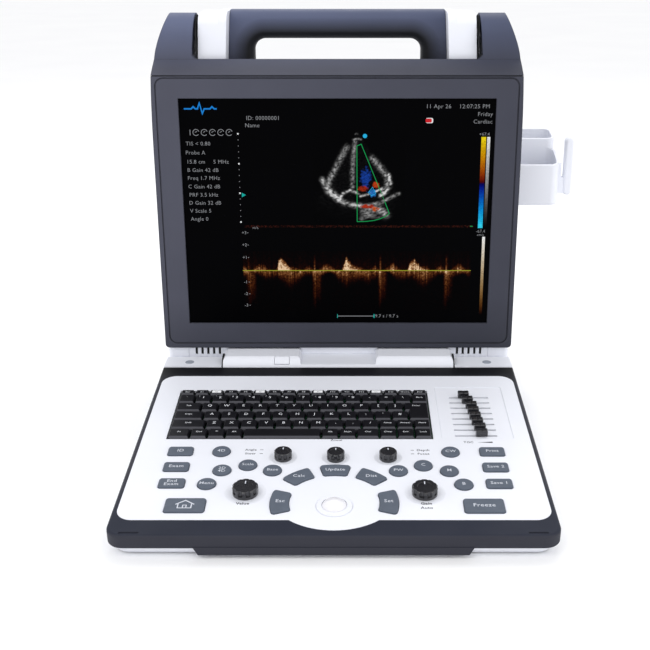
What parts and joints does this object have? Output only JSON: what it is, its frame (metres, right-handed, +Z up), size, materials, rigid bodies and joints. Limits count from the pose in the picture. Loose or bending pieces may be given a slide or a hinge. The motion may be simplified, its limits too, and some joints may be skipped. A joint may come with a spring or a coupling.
{
  "type": "portable ultrasound scanner",
  "caption": "Portable ultrasound scanner: upright case with tilting display, carry handle, probe holder and a fold-up control deck with keyboard, knobs, sliders and trackball.",
  "frame": {"origin": "centre of the main body's underside, level with its feet", "axes": "+X to the user's right, +Y to the back, +Z up; the deck opens towards -Y"},
  "size_m": [0.4222, 0.4303, 0.3877],
  "materials": {
    "dark_housing": "fine moulded texture, slate grey",
    "white_housing": "smooth satin, cool white",
    "deck_trim": "satin, near black",
    "button_slate": "satin, slate grey",
    "knob_black": "glossy black",
    "key_black": "satin black",
    "ball_white": "polished white",
    "display": "matt screen, lit image",
    "steel": "plain",
    "rubber": "matt",
    "circuit_board": "solder mask",
    "battery_case": "fine texture",
    "fan_plastic": "matt black",
    "socket_black": "satin"
  },
  "bodies": {
    "body": {"base_chassis": "white_housing", "rear_housing": "white_housing", "carry_handle": "dark_housing", "hinge_cover": "white_housing", "hinge_pins": "steel", "rubber_feet": "rubber", "main_boards": "circuit_board", "battery_pack": "battery_case", "fan_frame": "fan_plastic", "probe_sockets": "socket_black", "probe_holder": "white_housing", "housing_screws": "steel"},
    "head": {"monitor_bezel": "dark_housing", "monitor_shell": "dark_housing", "lcd_panel": "display"},
    "deck": {"deck_shell": "white_housing", "deck_frame": "deck_trim", "control_panel": "white_housing", "control_board": "circuit_board", "trackball_ring": "white_housing"},
    "fan": {"fan_rotor": "fan_plastic"},
    "button_dual": {"button_dual": "button_slate"},
    "button_quad": {"button_quad": "button_slate"},
    "button_scale": {"button_scale": "button_slate"},
    "button_menu": {"button_menu": "button_slate"},
    "button_baseline": {"button_baseline": "button_slate"},
    "button_cw": {"button_cw": "button_slate"},
    "button_colour": {"button_colour": "button_slate"},
    "button_m_mode": {"button_m_mode": "button_slate"},
    "button_b_mode": {"button_b_mode": "button_slate"},
    "button_pulse_wave": {"button_pulse_wave": "button_slate"},
    "button_patient": {"button_patient": "button_slate"},
    "button_exam": {"button_exam": "button_slate"},
    "button_end_exam": {"button_end_exam": "button_slate"},
    "button_home": {"button_home": "button_slate"},
    "button_print": {"button_print": "button_slate"},
    "button_store_clip": {"button_store_clip": "button_slate"},
    "button_store_image": {"button_store_image": "button_slate"},
    "button_freeze": {"button_freeze": "button_slate"},
    "button_update": {"button_update": "button_slate"},
    "button_calculate": {"button_calculate": "button_slate"},
    "button_measure": {"button_measure": "button_slate"},
    "button_back": {"button_back": "button_slate"},
    "button_set": {"button_set": "button_slate"},
    "knob_steer": {"knob_steer": "knob_black"},
    "knob_zoom": {"knob_zoom": "knob_black"},
    "knob_depth": {"knob_depth": "knob_black"},
    "knob_value": {"knob_value": "knob_black"},
    "knob_gain": {"knob_gain": "knob_black"},
    "gain_slider_1": {"gain_slider_1": "knob_black"},
    "gain_slider_2": {"gain_slider_2": "knob_black"},
    "gain_slider_3": {"gain_slider_3": "knob_black"},
    "gain_slider_4": {"gain_slider_4": "knob_black"},
    "gain_slider_5": {"gain_slider_5": "knob_black"},
    "gain_slider_6": {"gain_slider_6": "knob_black"},
    "gain_slider_7": {"gain_slider_7": "knob_black"},
    "gain_slider_8": {"gain_slider_8": "knob_black"},
    "trackball": {"trackball": "ball_white"},
    "letter_keys": {"letter_keys": "key_black"},
    "power_button": {"power_button": "white_housing"}
  },
  "joints": [
    {"name": "deck_fold", "type": "hinge", "parent": "body", "child": "deck", "pos_m": [0, -0.0785, 0.04], "axis": [1, 0, 0], "range_deg": [-95.04, 0]},
    {"name": "head_tilt", "type": "hinge", "parent": "body", "child": "head", "pos_m": [0, -0.028, 0.366], "axis": [-1, 0, 0], "range_deg": [0, 25]},
    {"name": "fan_spin", "type": "hinge", "parent": "body", "child": "fan", "pos_m": [-0.095, 0.0445, 0.25], "axis": [0, 1, 0], "continuous": true},
    {"name": "button_dual_press", "type": "slide", "parent": "deck", "child": "button_dual", "axis": [0, -0.0879, 0.9961], "range_m": [-0.0008, 0], "stiffness_N_per_m": 400},
    {"name": "button_quad_press", "type": "slide", "parent": "deck", "child": "button_quad", "axis": [0, -0.0879, 0.9961], "range_m": [-0.0008, 0], "stiffness_N_per_m": 400},
    {"name": "button_scale_press", "type": "slide", "parent": "deck", "child": "button_scale", "axis": [0, -0.0879, 0.9961], "range_m": [-0.0008, 0], "stiffness_N_per_m": 400},
    {"name": "button_menu_press", "type": "slide", "parent": "deck", "child": "button_menu", "axis": [0, -0.0879, 0.9961], "range_m": [-0.0008, 0], "stiffness_N_per_m": 400},
    {"name": "button_baseline_press", "type": "slide", "parent": "deck", "child": "button_baseline", "axis": [0, -0.0879, 0.9961], "range_m": [-0.0008, 0], "stiffness_N_per_m": 400},
    {"name": "button_cw_press", "type": "slide", "parent": "deck", "child": "button_cw", "axis": [0, -0.0879, 0.9961], "range_m": [-0.0008, 0], "stiffness_N_per_m": 400},
    {"name": "button_colour_press", "type": "slide", "parent": "deck", "child": "button_colour", "axis": [0, -0.0879, 0.9961], "range_m": [-0.0008, 0], "stiffness_N_per_m": 400},
    {"name": "button_m_mode_press", "type": "slide", "parent": "deck", "child": "button_m_mode", "axis": [0, -0.0879, 0.9961], "range_m": [-0.0008, 0], "stiffness_N_per_m": 400},
    {"name": "button_b_mode_press", "type": "slide", "parent": "deck", "child": "button_b_mode", "axis": [0, -0.0879, 0.9961], "range_m": [-0.0008, 0], "stiffness_N_per_m": 400},
    {"name": "button_pulse_wave_press", "type": "slide", "parent": "deck", "child": "button_pulse_wave", "axis": [0, -0.0879, 0.9961], "range_m": [-0.0008, 0], "stiffness_N_per_m": 400},
    {"name": "button_patient_press", "type": "slide", "parent": "deck", "child": "button_patient", "axis": [0, -0.0879, 0.9961], "range_m": [-0.0008, 0], "stiffness_N_per_m": 400},
    {"name": "button_exam_press", "type": "slide", "parent": "deck", "child": "button_exam", "axis": [0, -0.0879, 0.9961], "range_m": [-0.0008, 0], "stiffness_N_per_m": 400},
    {"name": "button_end_exam_press", "type": "slide", "parent": "deck", "child": "button_end_exam", "axis": [0, -0.0879, 0.9961], "range_m": [-0.0008, 0], "stiffness_N_per_m": 400},
    {"name": "button_home_press", "type": "slide", "parent": "deck", "child": "button_home", "axis": [0, -0.0879, 0.9961], "range_m": [-0.0008, 0], "stiffness_N_per_m": 400},
    {"name": "button_print_press", "type": "slide", "parent": "deck", "child": "button_print", "axis": [0, -0.0879, 0.9961], "range_m": [-0.0008, 0], "stiffness_N_per_m": 400},
    {"name": "button_store_clip_press", "type": "slide", "parent": "deck", "child": "button_store_clip", "axis": [0, -0.0879, 0.9961], "range_m": [-0.0008, 0], "stiffness_N_per_m": 400},
    {"name": "button_store_image_press", "type": "slide", "parent": "deck", "child": "button_store_image", "axis": [0, -0.0879, 0.9961], "range_m": [-0.0008, 0], "stiffness_N_per_m": 400},
    {"name": "button_freeze_press", "type": "slide", "parent": "deck", "child": "button_freeze", "axis": [0, -0.0879, 0.9961], "range_m": [-0.0008, 0], "stiffness_N_per_m": 400},
    {"name": "button_update_press", "type": "slide", "parent": "deck", "child": "button_update", "axis": [0, -0.0879, 0.9961], "range_m": [-0.0008, 0], "stiffness_N_per_m": 400},
    {"name": "button_calculate_press", "type": "slide", "parent": "deck", "child": "button_calculate", "axis": [0, -0.0879, 0.9961], "range_m": [-0.0008, 0], "stiffness_N_per_m": 400},
    {"name": "button_measure_press", "type": "slide", "parent": "deck", "child": "button_measure", "axis": [0, -0.0879, 0.9961], "range_m": [-0.0008, 0], "stiffness_N_per_m": 400},
    {"name": "button_back_press", "type": "slide", "parent": "deck", "child": "button_back", "axis": [0, -0.0879, 0.9961], "range_m": [-0.0008, 0], "stiffness_N_per_m": 400},
    {"name": "button_set_press", "type": "slide", "parent": "deck", "child": "button_set", "axis": [0, -0.0879, 0.9961], "range_m": [-0.0008, 0], "stiffness_N_per_m": 400},
    {"name": "knob_steer_turn", "type": "hinge", "parent": "deck", "child": "knob_steer", "pos_m": [-0.0452, -0.25859, 0.03292], "axis": [0, -0.0879, 0.9961], "continuous": true},
    {"name": "knob_zoom_turn", "type": "hinge", "parent": "deck", "child": "knob_zoom", "pos_m": [0.0001, -0.25939, 0.03285], "axis": [0, -0.0879, 0.9961], "continuous": true},
    {"name": "knob_depth_turn", "type": "hinge", "parent": "deck", "child": "knob_depth", "pos_m": [0.0452, -0.25939, 0.03285], "axis": [0, -0.0879, 0.9961], "continuous": true},
    {"name": "knob_value_turn", "type": "hinge", "parent": "deck", "child": "knob_value", "pos_m": [-0.0728, -0.31099, 0.0283], "axis": [0, -0.0879, 0.9961], "continuous": true},
    {"name": "knob_gain_turn", "type": "hinge", "parent": "deck", "child": "knob_gain", "pos_m": [0.0734, -0.31168, 0.02823], "axis": [0, -0.0879, 0.9961], "continuous": true},
    {"name": "gain_slider_1_slide", "type": "slide", "parent": "deck", "child": "gain_slider_1", "axis": [1, 0, 0], "range_m": [-0.01075, 0.02075]},
    {"name": "gain_slider_2_slide", "type": "slide", "parent": "deck", "child": "gain_slider_2", "axis": [1, 0, 0], "range_m": [-0.01355, 0.01795]},
    {"name": "gain_slider_3_slide", "type": "slide", "parent": "deck", "child": "gain_slider_3", "axis": [1, 0, 0], "range_m": [-0.01625, 0.01525]},
    {"name": "gain_slider_4_slide", "type": "slide", "parent": "deck", "child": "gain_slider_4", "axis": [1, 0, 0], "range_m": [-0.01715, 0.01435]},
    {"name": "gain_slider_5_slide", "type": "slide", "parent": "deck", "child": "gain_slider_5", "axis": [1, 0, 0], "range_m": [-0.01785, 0.01365]},
    {"name": "gain_slider_6_slide", "type": "slide", "parent": "deck", "child": "gain_slider_6", "axis": [1, 0, 0], "range_m": [-0.01875, 0.01275]},
    {"name": "gain_slider_7_slide", "type": "slide", "parent": "deck", "child": "gain_slider_7", "axis": [1, 0, 0], "range_m": [-0.01995, 0.01155]},
    {"name": "gain_slider_8_slide", "type": "slide", "parent": "deck", "child": "gain_slider_8", "axis": [1, 0, 0], "range_m": [-0.02055, 0.01095]},
    {"name": "trackball_roll", "type": "hinge", "parent": "deck", "child": "trackball", "pos_m": [0, -0.32872, 0.0177], "axis": [1, 0, 0], "continuous": true},
    {"name": "letter_keys_press", "type": "slide", "parent": "deck", "child": "letter_keys", "axis": [0, -0.0879, 0.9961], "range_m": [-0.0015, 0], "stiffness_N_per_m": 1500},
    {"name": "power_button_press", "type": "slide", "parent": "body", "child": "power_button", "axis": [0, -0.6157, 0.788], "range_m": [-0.0008, 0], "stiffness_N_per_m": 400}
  ]
}
